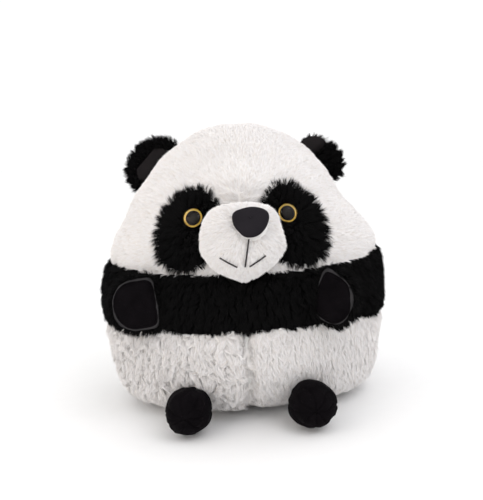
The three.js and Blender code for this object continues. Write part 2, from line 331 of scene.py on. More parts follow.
def ball_sheet(rows: int, columns: int, shape: Callable[[Array], Array]) -> Sheet:
    """A closed sheet made from the unit ball.

    Args:
        rows: Rows from the lower pole (-Z) to the upper pole.
        columns: Columns round Z.
        shape: Turns unit ball points into places.

    Returns:
        The sheet.
    """
    rise = np.linspace(-math.pi / 2, math.pi / 2, rows)[:, None]
    turn = np.linspace(0.0, 2.0 * math.pi, columns, endpoint=False)[None, :]
    axes = (np.cos(rise) * np.cos(turn), np.cos(rise) * np.sin(turn), np.sin(rise))
    return Sheet(shape(np.stack(np.broadcast_arrays(*axes), -1)))


# ---------------------------------------------------------------- finishes


@dataclass(frozen=True)
class Finish:
    """A plain surface finish with fine colour and bump variation."""

    name: str
    colour: Colour
    darker: Colour
    roughness: float = 0.9
    grain: float = 0.0006
    bump: float = 0.3
    sheen: float = 0.0
    sheen_tint: Colour = (1.0, 1.0, 1.0)
    coat: float = 0.0
    metallic: float = 0.0
    specular: float = 0.4

    def make(self) -> Material:
        """Builds the material.

        Returns:
            A material whose colour drifts between two tones and whose surface has a fine grain.
        """
        material = bpy.data.materials.new(self.name)
        material.use_nodes = True
        nodes, links = material.node_tree.nodes, material.node_tree.links
        shader = nodes["Principled BSDF"]
        shader.inputs["Roughness"].default_value = self.roughness
        shader.inputs["Sheen Weight"].default_value = self.sheen
        shader.inputs["Sheen Tint"].default_value = (*self.sheen_tint, 1.0)
        shader.inputs["Coat Weight"].default_value = self.coat
        shader.inputs["Metallic"].default_value = self.metallic
        shader.inputs["Specular IOR Level"].default_value = self.specular
        place = nodes.new("ShaderNodeTexCoord")
        drift = nodes.new("ShaderNodeTexNoise")
        drift.inputs["Scale"].default_value = 60.0
        drift.inputs["Detail"].default_value = 6.0
        tone = nodes.new("ShaderNodeValToRGB")
        tone.color_ramp.elements[0].position = 0.3
        tone.color_ramp.elements[0].color = (*self.darker, 1.0)
        tone.color_ramp.elements[1].position = 0.7
        tone.color_ramp.elements[1].color = (*self.colour, 1.0)
        grain = nodes.new("ShaderNodeTexNoise")
        grain.inputs["Scale"].default_value = 1.0 / self.grain
        grain.inputs["Detail"].default_value = 3.0
        bump = nodes.new("ShaderNodeBump")
        bump.inputs["Strength"].default_value = self.bump
        bump.inputs["Distance"].default_value = self.grain
        links.new(place.outputs["Object"], drift.inputs["Vector"])
        links.new(place.outputs["Object"], grain.inputs["Vector"])
        links.new(drift.outputs["Fac"], tone.inputs["Fac"])
        links.new(tone.outputs["Color"], shader.inputs["Base Color"])
        links.new(grain.outputs["Fac"], bump.inputs["Height"])
        links.new(bump.outputs["Normal"], shader.inputs["Normal"])
        return material


@dataclass(frozen=True)
class Strand:
    """The finish of one shade of pile fibre."""

    name: str
    colour: Colour
    roughness: float = 0.8
    sheen: float = 0.0

    def make(self) -> Material:
        """Builds the material of the fibres.

        Returns:
            The material.
        """
        material = bpy.data.materials.new(self.name)
        material.use_nodes = True
        shader = material.node_tree.nodes["Principled BSDF"]
        shader.inputs["Base Color"].default_value = (*self.colour, 1.0)
        shader.inputs["Roughness"].default_value = self.roughness
        shader.inputs["Specular IOR Level"].default_value = 0.12
        shader.inputs["Sheen Weight"].default_value = self.sheen
        return material


@dataclass(frozen=True)
class Clear:
    """Clear domed plastic."""

    name: str

    def make(self) -> Material:
        """Builds the material of the lenses.

        Returns:
            The material.
        """
        material = bpy.data.materials.new(self.name)
        material.use_nodes = True
        shader = material.node_tree.nodes["Principled BSDF"]
        shader.inputs["Base Color"].default_value = (1.0, 1.0, 1.0, 1.0)
        shader.inputs["Roughness"].default_value = 0.02
        shader.inputs["IOR"].default_value = 1.18
        shader.inputs["Transmission Weight"].default_value = 1.0
        return material


class Wardrobe:
    """All the finishes of the panda, made once."""

    def __init__(self) -> None:
        """Builds every material."""
        self.white_strands = [
            Strand("white_fibre_bright", (0.915, 0.90, 0.90), sheen=0.2).make(),
            Strand("white_fibre", (0.89, 0.872, 0.865), sheen=0.2).make(),
            Strand("white_fibre_warm", (0.835, 0.79, 0.75), sheen=0.2).make(),
        ]
        self.black_strands = [
            Strand("black_fibre", (0.0007, 0.0006, 0.0007), roughness=0.9).make(),
            Strand("black_fibre_soft", (0.0012, 0.001, 0.0012), roughness=0.9).make(),
            Strand("black_fibre_worn", (0.0022, 0.0018, 0.0021), roughness=0.9).make(),
        ]
        # White skin under the pile: its own white, painted a little darker than the fibres as painted shade between
        # them.
        self.white_backing = Finish("white_backing", (0.88, 0.86, 0.845), (0.82, 0.795, 0.77), grain=0.0012).make()
        self.black_backing = Finish(
            "black_backing", (0.001, 0.0009, 0.001), (0.0006, 0.0006, 0.0006), specular=0.03, grain=0.0012,
        ).make()
        self.velboa = Finish(
            "charcoal_nap", (0.0042, 0.0033, 0.0042), (0.0018, 0.0014, 0.0019), roughness=0.85, grain=0.0005,
            bump=0.6, sheen=0.012, sheen_tint=(0.6, 0.5, 0.55), specular=0.03,
        ).make()
        self.nose_nap = Finish(
            "nose_nap", (0.011, 0.009, 0.012), (0.008, 0.0065, 0.009), roughness=0.8, grain=0.0004,
            bump=0.35, sheen=0.03, sheen_tint=(0.6, 0.55, 0.6), specular=0.1,
        ).make()
        self.ear_nap = Finish(
            "ear_nap", (0.009, 0.0065, 0.007), (0.005, 0.0036, 0.004), roughness=0.8, grain=0.0005,
            bump=0.5, sheen=0.02, sheen_tint=(0.7, 0.6, 0.6), specular=0.15,
        ).make()
        # Palm rim: the real seam, given a lighter colour as a painted highlight of the edge catching light.
        self.seam_edge = Finish(
            "seam_edge", (0.015, 0.013, 0.015), (0.008, 0.007, 0.008), roughness=0.8, grain=0.0004, bump=0.8,
        ).make()
        self.seat_cloth = Finish(
            "seat_cloth", (0.80, 0.78, 0.75), (0.70, 0.67, 0.63), roughness=0.95, grain=0.0008, bump=0.6,
        ).make()
        self.fibre = Finish("fibre_filling", (0.9, 0.9, 0.88), (0.8, 0.8, 0.78), grain=0.002, bump=0.8).make()
        self.thread = Finish("dark_thread", (0.030, 0.024, 0.026), (0.015, 0.012, 0.014), grain=0.0003).make()
        self.lens = Clear("clear_dome").make()
        self.gold = Finish(
            "gold_iris", (0.70, 0.46, 0.07), (0.52, 0.31, 0.035), roughness=0.3, grain=0.0003, bump=0.15,
            metallic=0.5,
        ).make()
        self.pupil = Finish(
            "dark_pupil", (0.006, 0.003, 0.002), (0.002, 0.001, 0.0008), roughness=0.5, grain=0.0005, bump=0.05,
            specular=0.03,
        ).make()
        self.washer = Finish("washer_plastic", (0.75, 0.75, 0.72), (0.68, 0.68, 0.65), roughness=0.5).make()


# ---------------------------------------------------------------- pile


@dataclass(frozen=True)
class Pile:
    """How a pile fabric's fibres stand, lie and gather into locks."""

    length: float
    density: float = 2.0e6
    width: float = 0.42 * MM
    lean: float = 58.0
    tuft: float = 6.0 * MM
    gather: float = 0.5
    swirl: float = 0.5
    wild: float = 0.2
    shortest: float = 0.7
    length_spread: float = 0.45
    tuft_spread: float = 0.18
    buried: float = 0.6 * MM
    knee: float = 0.45
    bow: float = 0.16
    twist: float = 0.6
    thinnest: float = 0.35
    width_spread: float = 0.3
    taper: float = 0.8

    def grow(
        self, name: str, roots: Array, normals: Array, comb: Array, materials: list[Material],
        seed: int, scale: Optional[Array] = None,
    ) -> Object:
        """Grows flat tapering locks from root points.

        Args:
            name: Object name.
            roots: Root points.
            normals: Outward directions at the roots.
            comb: Directions along the surface that the locks lean towards.
            materials: Shades of the fibre, spread at random.
            seed: Which scatter to use.
            scale: Length of each lock as a share of the full length.

        Returns:
            One object with all the locks.
        """
        rng = np.random.default_rng(seed)
        count = len(roots)
        centres, shared = tufts(roots, self.tuft, seed)
        centres = centres - normals * dot(centres - roots, normals)
        tangent = shared - normals * dot(shared, normals)
        lay = unit(comb - normals * dot(comb, normals) + tangent * self.swirl)
        lean = math.radians(self.lean)
        common = math.cos(lean) * normals + math.sin(lean) * lay
        own = unit(common + rng.normal(size=(count, 3)) * self.wild)
        length = self.length * (self.shortest + self.length_spread * rng.random((count, 1)))
        length = length * (1.0 + self.tuft_spread * shared[:, :1])
        if scale is not None:
            length = length * scale[:, None]
        tips = (1 - self.gather) * (roots + own * length) + self.gather * (centres + unit(common) * length)
        base = roots - normals * self.buried
        middle = base + (self.knee * (tips - base) + self.bow * length * normals)
        run = unit(tips - base)
        across = unit(np.cross(run, normals) + 1e-6)
        turn = rng.normal(size=(count, 1)) * self.twist
        across = unit(across * np.cos(turn) + np.cross(run, across) * np.sin(turn))
        half = across * self.width * (self.thinnest + self.width_spread * rng.random((count, 1)))
        slim = half * self.taper
        points = np.stack([base - half, base + half, middle - slim, middle + slim, tips], axis=1)
        points[..., 2] = np.maximum(points[..., 2], FLOOR_GAP)
        start = (np.arange(count) * 5)[:, None]
        corners = start + np.array([[0, 1, 3, 2, 2, 3, 4]])
        counts = np.tile([4, 3], count)
        shade = rng.choice(len(materials), size=count, p=SHADE_SHARES)
        return make_object(name, points.reshape(-1, 3), corners.ravel(), counts, materials, np.repeat(shade, 2))


# ---------------------------------------------------------------- body


@dataclass
class BodyForm:
    """The shape of the stuffed body, in metres, worked out from the frame's own skins."""

    inset: float = 3.2 * MM
    depth_ratio: float = 0.98
    tuck_front: float = 0.5
    tuck_back: float = 0.25
    tuck_height: float = 20.0 * MM
    widest: float = 0.112
    taper: float = 0.21
    edge_round: float = 14.0 * MM
    shoulder_power: float = 1.7
    crown_power: float = 1.9
    hip_power: float = 1.8
    band_bottom: float = 0.0
    band_top: float = 0.0
    half_width: float = 0.0
    height: float = 0.0

    def __post_init__(self) -> None:
        """Reads the overall sizes from the frame."""
        low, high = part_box("band_front")
        self.half_width = (high[0] - low[0]) / 2.0
        self.band_bottom, self.band_top = low[2], high[2]
        self.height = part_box("head_back_left")[1][2]

    def radius(self, z: Array, inset: float) -> Array:
        """Half width of a body drawn in by an inset.

        Args:
            z: Heights.
            inset: How far it is drawn in.

        Returns:
            The half width at each height.
        """
        half = self.half_width - inset
        up = np.clip((z - self.widest) / (self.height - inset - self.widest), 0.0, 1.0)
        upper = half * (1.0 - up**self.shoulder_power) ** (1.0 / self.crown_power)
        down = np.clip((self.widest - z) / (self.widest - inset), 0.0, 1.0)
        below = np.clip((self.edge_round - z + inset) / self.edge_round, 0.0, 1.0)
        lower = half * (1.0 - self.taper * down**self.hip_power)
        lower = lower - self.edge_round * (1.0 - np.sqrt(1.0 - below**2))
        return np.where(z >= self.widest, upper, lower)

    def share(self, z: Array | float, front: Array | bool) -> Array:
        """Depth over width at a height, in front of the sides or behind them."""
        tuck = np.where(front, self.tuck_front, self.tuck_back)
        return self.depth_ratio - tuck * np.exp(-np.maximum(z, 0.0) / self.tuck_height)

    def on_skin(self, z: float, x: float) -> Vector:
        """The point on the outside of the frame's body at a height and an X, at the front."""
        r = float(self.radius(np.array(z), 0.0))
        return Vector((x, -math.sqrt(r * r - x * x) * float(self.share(z, True)), z))

    def around(self, z: float, x: float) -> float:
        """Angle from the front, towards +X, of that point, in radians."""
        return math.asin(x / float(self.radius(np.array(z), 0.0)))

    def sheet(self, inset: float, rows: int, columns: int) -> Sheet:
        """The body as a sheet from the middle of the seat up to the top.

        Args:
            inset: How far it is drawn in from the frame's skins.
            rows: Rows from the seat to the top.
            columns: Columns round Z.

        Returns:
            The sheet.
        """
        climb = inset + (self.height - inset * 2) * (1 - np.cos(np.linspace(0, math.pi, 4000))) / 2
        line = np.stack([np.append(0.0, self.radius(climb, inset)), np.append(inset, climb)], axis=1)
        line[-1, 0] = 0.0
        run = np.append(0.0, np.cumsum(np.linalg.norm(np.diff(line, axis=0), axis=1)))
        even = np.linspace(0.0, run[-1], rows)
        r, z = (np.interp(even, run, line[:, axis]) for axis in (0, 1))
        turn = np.linspace(-math.pi, math.pi, columns, endpoint=False)
        share = self.share(z[:, None], np.cos(turn)[None, :] > 0)
        across = r[:, None] * np.sin(turn)[None, :]
        forward = -r[:, None] * np.cos(turn)[None, :] * share
        return Sheet(np.stack(np.broadcast_arrays(across, forward, z[:, None]), axis=-1))

    def seam_heights(self, points: Array) -> tuple[Array, Array]:
        """Heights of the band's seams, with the front of the lower one raised.

        Args:
            points: Points of the body.

        Returns:
            The heights of the lower and the upper seam at each point.
        """
        front = smooth(0.02, 0.14, -points[..., 1])
        wander = 1.2 * MM * waves(points.reshape(-1, 3), 0.09, 5).reshape(points.shape[:-1])
        notch = 5.0 * MM * np.exp(-((points[..., 0] / 0.005) ** 2)) * front
        low = self.band_bottom - 4.0 * MM + 8.0 * MM * front + wander - notch
        high = self.band_top + wander + 4.0 * MM * smooth(0.08, 0.15, points[..., 0])
        return low, high


@dataclass
class Oval:
    """A flat oval seam outline seen along a horizontal direction, used for the eye patches."""

    side: Side
    form: BodyForm
    x: float = 0.053
    z: float = 0.196
    half_width: float = 0.0345
    half_height: float = 0.037
    tilt: float = -15.0

    def distance(self, points: Array) -> Array:
        """How far points are across the outline.

        Args:
            points: Points of the body.

        Returns:
            Below 1 inside the outline, 1 on it, and above 1 outside it.
        """
        sign = self.side.value
        frame = Matrix.Rotation(self.form.around(self.z, sign * self.x), 3, "Z")
        frame = frame @ Matrix.Rotation(math.radians(sign * self.tilt), 3, "Y")
        local = (points - np.array([0.0, 0.0, self.z])) @ np.array(frame)
        flat = np.hypot(local[..., 0] / self.half_width, local[..., 2] / self.half_height)
        return np.where(local[..., 1] < 0, flat, 9.0)


@dataclass
class Muzzle:
    """The bulging muzzle."""

    form: BodyForm
    half: tuple[float, float, float] = (0.040, 0.038, 0.039)
    z: float = 0.185
    proud: float = 0.004
    inset: float = 3.4 * MM
    pile: Pile = Pile(
        length=5.0 * MM, density=3.0e6, width=0.4 * MM, lean=66, tuft=4 * MM, gather=0.3, swirl=0.35, wild=0.12
    )

    @property
    def centre(self) -> Array:
        """Middle of the muzzle's ellipsoid."""
        y = -float(self.form.radius(np.array(self.z), 0.0)) * float(self.form.share(self.z, True)) - self.proud
        return np.array([0.0, y, self.z])

    def distance(self, points: Array, inset: float = 0.0) -> Array:
        """Below 1 inside the muzzle, 1 on it, and above 1 outside it."""
        half = np.array(self.half) - inset
        return np.linalg.norm((points - self.centre) / half, axis=-1)

    def on_surface(self, x: float, z: float, inset: float = 0.0) -> Vector:
        """The front point of the muzzle at an X and a height.

        Args:
            x: Place across.
            z: Height.
            inset: How far the muzzle is drawn in.

        Returns:
            The point.
        """
        half = np.array(self.half) - inset
        lift = (z - self.centre[2]) / half[2]
        aside = x / half[0]
        return Vector((x, self.centre[1] - half[1] * math.sqrt(max(0.0, 1 - lift * lift - aside * aside)), z))

    def build(self, wear: Wardrobe, nose: "Nose") -> list[Object]:
        """Makes the muzzle's skin and pile.

        Args:
            wear: The finishes.
            nose: The nose, which is kept clear of pile.

        Returns:
            The skin and the pile.
        """
        half = np.array(self.half) - self.inset

        def shape(ball: Array) -> Array:
            """Turns unit ball points into the muzzle, squarer above, narrower below and full in the cheeks.

            Args:
                ball: Points of the unit ball.

            Returns:
                The points' places on the muzzle.
            """
            level = np.sqrt(np.maximum(1e-6, 1 - ball[..., 2] ** 2))
            upper = np.clip(1 - np.abs(ball[..., 2]) ** 2.8, 0, 1) ** 0.36
            lower = np.clip(1 - np.abs(ball[..., 2]) ** 1.9, 0, 1) ** 0.85
            squarer = np.where(ball[..., 2] > 0, upper, lower) / level
            squarer = np.clip(squarer, 0.3, 1.35)
            points = ball * half * np.stack([squarer, np.ones_like(level), np.ones_like(level)], -1) + self.centre
            lump = 0.5 * MM * waves(points.reshape(-1, 3), 0.03, 21).reshape(points.shape[:-1])
            fuller = 1.5 * MM + 0.9 * MM * smooth(0.0, 0.2, ball[..., 0])
            cheek = fuller * np.exp(-((ball[..., 2] + 0.35) / 0.4) ** 2) * (1 - np.exp(-((ball[..., 0]) / 0.25) ** 2))
            return points + ball * (lump + cheek)[..., None]

        sheet = ball_sheet(90, 120, shape)
        middles = sheet.centres()
        front = middles[:, 1] < self.centre[1] + 0.03
        skin = sheet.object("muzzle_panel_skin", front, wear.white_backing)
        roots, normals = sheet.scatter(front, self.pile.density, np.random.default_rng(31))
        reach = np.hypot(roots[:, 0], roots[:, 1] / self.form.share(roots[:, 2], True))
        outside = reach > self.form.radius(roots[:, 2], self.form.inset) - 1 * MM
        outside &= ~nose.covers(roots)
        roots, normals = roots[outside], normals[outside]
        away = unit(roots - np.array(nose.middle()) + np.array([0.0, 0.0, -0.004]))
        fur = self.pile.grow("muzzle_panel_pile", roots, normals, away, wear.white_strands, 32)
        return [skin, fur]


@dataclass
class Nose:
    """The padded nose: a rounded triangle with its tip down."""

    muzzle: Muzzle
    x: float = 0.0085
    z: float = 0.208
    half_width: float = 0.0178
    top: float = 0.0125
    tip: float = 0.0170
    thickness: float = 0.0095
    sunk: float = 0.0045
    pitch: float = 33.0
    rows: int = 48
    columns: int = 96

    def middle(self) -> Vector:
        """The nose's middle on the muzzle's outside."""
        return self.muzzle.on_surface(self.x, self.z)

    def frame(self) -> Matrix:
        """From the nose's own axes (Z out of the face) to the scene."""
        return Matrix.Translation(self.middle()) @ Matrix.Rotation(math.radians(90 - self.pitch), 4, "X")

    def outline(self, turn: Array) -> tuple[Array, Array]:
        """The outline at an angle round it.

        Args:
            turn: Angles.

        Returns:
            Width and height at each angle.
        """
        width = self.half_width * np.cos(turn) * (1.0 + 0.16 * np.sin(turn) - 0.10 * np.cos(2 * turn))
        height = np.where(np.sin(turn) > 0, self.top, self.tip) * np.sin(turn)
        height = height * (1.0 - 0.15 * np.cos(turn) ** 2 * (np.sin(turn) < 0))
        return width, height

    def covers(self, points: Array) -> Array:
        """Which points lie under the nose.

        Args:
            points: Points, one row each.

        Returns:
            True for each point that the nose covers.
        """
        local = points @ np.array(self.frame().inverted().to_3x3()).T + np.array(self.frame().inverted().translation)
        span = np.where(local[:, 1] > 0, self.top, self.tip)
        width, height = self.outline(np.arctan2(local[:, 1] / span, local[:, 0] / self.half_width))
        inside = np.hypot(local[:, 0], local[:, 1]) < 0.94 * np.hypot(width, height)
        return inside & (np.abs(local[:, 2]) < 2 * self.thickness)

    def build(self, wear: Wardrobe) -> list[Object]:
        """Makes the padded nose.

        Args:
            wear: The finishes.

        Returns:
            The nose's cover.
        """
        turn = np.linspace(0.0, 2 * math.pi, self.columns, endpoint=False)[None, :]
        rise = np.linspace(-math.pi / 2, math.pi / 2, self.rows)[:, None]
        width, height = self.outline(turn)
        reach = np.cos(rise) ** 0.55
        lift = np.sign(np.sin(rise)) * np.abs(np.sin(rise)) ** 0.9
        z = self.thickness * 0.55 * lift * (1.0 + 0.08 * np.sin(turn)) + self.thickness / 2 - self.sunk
        local = np.stack(np.broadcast_arrays(width * reach, height * reach, z), axis=-1)
        frame = np.array(self.frame())
        sheet = Sheet(local @ frame[:3, :3].T + frame[:3, 3])
        sheet.push(0.25 * MM * waves(sheet.points.reshape(-1, 3), 0.012, 41).reshape(sheet.points.shape[:-1]))
        return [sheet.whole("nose_pad_cover", wear.nose_nap)]


@dataclass
class Eye:
    """A safety eye: dark pupil, golden ring and clear dome, sunk into the patch."""

    side: Side
    form: BodyForm
    radius: float = 0.009
    pupil: float = 0.0074
    shell: float = 0.0007
    x: float = 0.0455
    z: float = 0.208
    yaw: float = 16.0
    pitch: float = 20.0
    sunk: float = 0.003
    dome: float = 0.0045
    columns: int = 64

    def frame(self) -> Matrix:
        """From the eye's own axes (Z looking out) to the scene.

        Returns:
            The matrix.
        """
        place = Matrix.Translation(self.form.on_skin(self.z, self.side.value * self.x))
        turn = Matrix.Rotation(math.radians(self.side.value * self.yaw), 4, "Z")
        return place @ turn @ Matrix.Rotation(math.radians(90 - self.pitch), 4, "X")

    def lathe(self, name: str, line: list[tuple[float, float]], material: Material) -> Object:
        """Turns a closed outline about the eye's axis.

        Args:
            name: Object name.
            line: The outline, as radius and height.
            material: Its material.

        Returns:
            The turned object.
        """
        outline = np.array(line)
        turn = np.linspace(0.0, 2 * math.pi, self.columns, endpoint=False)[None, :]
        local = np.stack(
            np.broadcast_arrays(
                outline[:, :1] * np.cos(turn), outline[:, :1] * np.sin(turn), outline[:, 1:],
            ),
            axis=-1,
        )
        frame = np.array(self.frame())
        sheet = Sheet(local @ frame[:3, :3].T + frame[:3, 3])
        return sheet.whole(name, material)

    def build(self, wear: Wardrobe) -> list[Object]:
        """Makes the eye.

        Args:
            wear: The finishes.

        Returns:
            The lens, the ring and the pupil.
        """
        word = self.side.word
        back = -self.sunk
        ring_top = back + 1.6 * MM
        arc = [math.radians(a) for a in range(0, 91, 6)]
        low = ring_top + 0.1 * MM
        inner, crown = self.radius - self.shell, self.dome - self.shell
        lens = [(inner * math.cos(a), low + crown * math.sin(a)) for a in reversed(arc)]
        lens += [(self.radius * math.cos(a), low + self.dome * math.sin(a)) for a in arc]
        ring = [
            (self.pupil, back), (self.radius * 0.98, back), (self.radius, back + 0.4 * MM),
            (self.radius * 0.99, ring_top - 0.2 * MM), (self.radius * 0.95, ring_top),
            (self.pupil + 0.1 * MM, ring_top - 0.3 * MM), (self.pupil, back),
        ]
        disc, rise = self.pupil - 0.1 * MM, crown - 0.9 * MM
        pupil = [(0.0, back - 15 * MM), (2 * MM, back - 15 * MM), (2 * MM, back - 0.1 * MM), (disc, back)]
        pupil += [(disc * math.cos(a), ring_top - 0.4 * MM + rise * math.sin(a)) for a in arc]
        return [
            self.lathe(f"eye_{word}_lens_dome", lens, wear.lens),
            self.lathe(f"eye_{word}_iris_ring", ring, wear.gold),
            self.lathe(f"eye_{word}_pupil_disc", pupil, wear.pupil),
        ]


@dataclass
class BodyCover:
    """All the body's skins: head, eye patches, band, lower body and seat."""

    form: BodyForm
    muzzle: Muzzle
    nose: Nose
    eyes: list[Eye]
    rows: int = 250
    columns: int = 440
    seam_depth: float = 2.4 * MM
    seam_width: float = 5.0 * MM
    seat_radius: float = 0.098
    patch_seam: float = 1.2 * MM
    socket_depth: float = 3.5 * MM
    socket_radius: float = 0.012
    head_pile: Pile = Pile(length=5.5 * MM, lean=68, tuft=5.5 * MM, gather=0.3, swirl=0.35, wild=0.1)
    lower_pile: Pile = Pile(
        length=7 * MM, density=2.6e6, width=0.36 * MM, lean=66, tuft=5.5 * MM, gather=0.28, swirl=0.5, wild=0.12
    )
    ruffled_pile: Pile = Pile(
        length=9 * MM, density=2.6e6, width=0.36 * MM, lean=58, tuft=7 * MM, gather=0.45, swirl=0.95, wild=0.2
    )
    black_pile: Pile = Pile(length=9 * MM, lean=56, tuft=6 * MM, gather=0.5, swirl=0.6, wild=0.2)

    def shaped(self) -> Sheet:
        """The body sheet with its lumps, seams and sockets.

        Returns:
            The sheet that every panel of the body is cut from.
        """
        form = self.form
        sheet = form.sheet(form.inset, self.rows, self.columns)
        flat = sheet.points.reshape(-1, 3)
        size = sheet.points.shape[:-1]
        upright = smooth(0.004, 0.02, flat[:, 2] - form.inset)
        lumps = 1.6 * MM * waves(flat, 0.13, 11) + 0.7 * MM * waves(flat, 0.045, 12)
        low, high = form.seam_heights(flat)
        pucker = 1.0 + 0.35 * waves(flat, 0.012, 13)
        seams = np.zeros(len(flat))
        for gap in (flat[:, 2] - low, flat[:, 2] - high):
            seams += np.exp(-((gap / self.seam_width) ** 2))
        in_band = (flat[:, 2] > low) & (flat[:, 2] < high)
        depth = np.where(flat[:, 2] > high, 0.5, 3.6)
        seams += depth * np.exp(-((flat[:, 0] / self.seam_width) ** 2)) * ~in_band
        seams += 0.6 * np.exp(-((flat[:, 1] / self.seam_width) ** 2)) * ~in_band
        amount = (lumps - seams * pucker * self.seam_depth + self.settling(flat)) * upright
        for side in Side:
            edge = Oval(side, form).distance(flat)
            amount -= self.patch_seam * np.exp(-(((edge - 1.0) / 0.12) ** 2))
        for eye in self.eyes:
            place = np.array(eye.frame().translation)
            near = np.linalg.norm(flat - place, axis=1)
            amount -= self.socket_depth * np.exp(-((near / self.socket_radius) ** 2))
        sheet.push(amount.reshape(size))
        return sheet

    def settling(self, flat: Array) -> Array:
        """How far the stuffing has settled: a soft neck, one full shoulder and a bridge to the muzzle.

        Args:
            flat: Points of the body, one row each.

        Returns:
            How far each moves out.
        """
        x, z = flat[:, 0], flat[:, 2]
        neck = -1.0 * MM * np.exp(-(((z - 0.206) / 0.02) ** 2)) * smooth(0.0, 0.09, np.abs(x))
        dent = -6.0 * MM * np.exp(-(((z - 0.222) / 0.02) ** 2)) * smooth(0.05, 0.11, x)
        shoulder = 3.5 * MM * np.exp(-(((z - 0.170) / 0.018) ** 2)) * smooth(0.08, 0.14, x)
        hips = 6.5 * MM * np.exp(-(((z - 0.024) / 0.026) ** 2)) * smooth(0.05, 0.11, np.abs(x))
        crown = 2.5 * MM * smooth(0.24, 0.285, z)
        bridge = np.exp(-((x / 0.026) ** 2) - ((z - 0.231) / 0.020) ** 2) * (flat[:, 1] < 0)
        return neck + dent + shoulder + hips + crown + 19.0 * MM * bridge

    def regions(self, sheet: Sheet) -> dict[str, Array]:
        """Which faces belong to which panel.

        Args:
            sheet: The body sheet.

        Returns:
            A mask of faces for each panel's node.
        """
        middle = sheet.centres()
        low, high = self.form.seam_heights(middle)
        flattened = middle[:, 1] / self.form.share(np.zeros(len(middle)), middle[:, 1] < 0)
        seat = (np.hypot(middle[:, 0], flattened) < self.seat_radius) & (middle[:, 2] < 0.012)
        above, below = middle[:, 2] > high, (middle[:, 2] < low) & ~seat
        band = ~above & ~below & ~seat
        front, left = middle[:, 1] < 0, middle[:, 0] > 0
        patches = {side: (Oval(side, self.form).distance(middle) < 1.0) & above for side in Side}
        found = {"base_panel": seat, "band_front": band & front, "band_back": band & ~front}
        for side in Side:
            half = left if side is Side.LEFT else ~left
            found[f"eye_patch_{side.word}"] = patches[side]
            for word, depth in (("front", front), ("back", ~front)):
                clear = ~patches[Side.LEFT] & ~patches[Side.RIGHT]
                found[f"head_{word}_{side.word}"] = above & half & depth & clear
                found[f"lower_{word}_{side.word}"] = below & half & depth
        return found

    def grow(self, sheet: Sheet, name: str, keep: Array, wear: Wardrobe, seed: int) -> Object:
        """Grows the pile of one panel.

        Args:
            sheet: The body sheet.
            name: The panel's node.
            keep: The panel's faces.
            wear: The finishes.
            seed: Which scatter to use.

        Returns:
            The pile.
        """
        dark = name.startswith(("band", "eye_patch"))
        if dark:
            pile = self.black_pile
        elif name == "lower_front_right":
            pile = self.ruffled_pile
        else:
            pile = self.lower_pile if name.startswith("lower") else self.head_pile
        roots, normals = sheet.scatter(keep, pile.density, np.random.default_rng(seed))
        free = self.muzzle.distance(roots, self.muzzle.inset) > 1.0
        free &= ~self.nose.covers(roots)
        scale = np.ones(len(roots))
        away = unit(roots - np.array(self.nose.middle()))
        ahead = smooth(0.0, 0.08, -roots[:, 1:2]) * name.startswith("head")
        lay = np.array([0.0, 0.9 * name.startswith("head"), -1.0])
        comb = lay * (1 - ahead) + away * ahead
        low, high = self.form.seam_heights(roots)
        if name.startswith("band"):
            scale *= 0.55 + 0.45 * smooth(0.0, 0.014, roots[:, 2] - low)
        if name.startswith(("head", "lower")):
            scale *= 0.75 + 0.25 * smooth(0.0, 0.010, np.abs(roots[:, 2] - np.where(roots[:, 2] > high, high, low)))
        if name.startswith(("head_front", "lower_front")):
            parting = np.exp(-((roots[:, 0] / 0.007) ** 2))
            strength = 2.2 if name.startswith("lower") else 0.25
            scale *= 1.0 - 0.3 * strength * parting
            comb[:, 0] += strength * parting * np.sign(roots[:, 0])
        for eye in self.eyes:
            place = np.array(eye.frame().translation)
            axis = np.array(eye.frame().to_3x3())[:, 2]
            gap = roots - place
            aside = np.linalg.norm(gap - axis * dot(gap, axis), axis=1)
            near = np.linalg.norm(gap, axis=1) < 0.02
            free &= ~(near & (aside < eye.radius))
            scale = np.where(near, scale * (0.45 + 0.55 * smooth(0.009, 0.018, aside)), scale)
            if name == f"eye_patch_{eye.side.word}":
                heart = np.array(self.form.on_skin(0.2, eye.side.value * 0.055))
                comb = unit(roots - heart) + np.array([0.0, 0.0, -0.35])
        materials = wear.black_strands if dark else wear.white_strands
        return pile.grow(f"{name}_pile", roots[free], normals[free], comb[free], materials, seed, scale[free])

    def build(self, wear: Wardrobe) -> Pieces:
        """Makes every panel's skin and pile.

        Args:
            wear: The finishes.

        Returns:
            The pieces that stand for each node of the frame.
        """
        sheet = self.shaped()
        made: Pieces = {}
        for seed, (name, keep) in enumerate(self.regions(sheet).items(), start=100):
            dark = name.startswith(("band", "eye_patch"))
            # White panels take the skin painted a little darker as shade between the fibres.
            backing = wear.black_backing if dark else wear.white_backing
            if name == "base_panel":
                made[name] = [sheet.object("base_panel_cloth", keep, wear.seat_cloth)]
            else:
                made[name] = [sheet.object(f"{name}_skin", keep, backing), self.grow(sheet, name, keep, wear, seed)]
        return made

    def filling(self, wear: Wardrobe) -> Object:
        """The fibre inside the body.

        Args:
            wear: The finishes.

        Returns:
            The filling.
        """
        sheet = self.form.sheet(self.form.inset + 9 * MM, 90, 140)
        lump = 1.5 * MM * waves(sheet.points.reshape(-1, 3), 0.03, 61).reshape(sheet.points.shape[:-1])
        sheet.push(lump)
        return sheet.whole("body_filling", wear.fibre)


# ---------------------------------------------------------------- limbs


def placed(sheet: Sheet, frame: Matrix) -> Sheet:
    """A sheet moved from its own axes into the scene."""
    matrix = np.array(frame)
    return Sheet(sheet.points @ matrix[:3, :3].T + matrix[:3, 3])


def hinge(name: str) -> Vector:
    """Where the frame's joint of that name turns."""
    joint = next(j for j in frame["record"]["behaviour"]["joints"] if j["name"] == name)
    return Vector(joint["pos_m"])


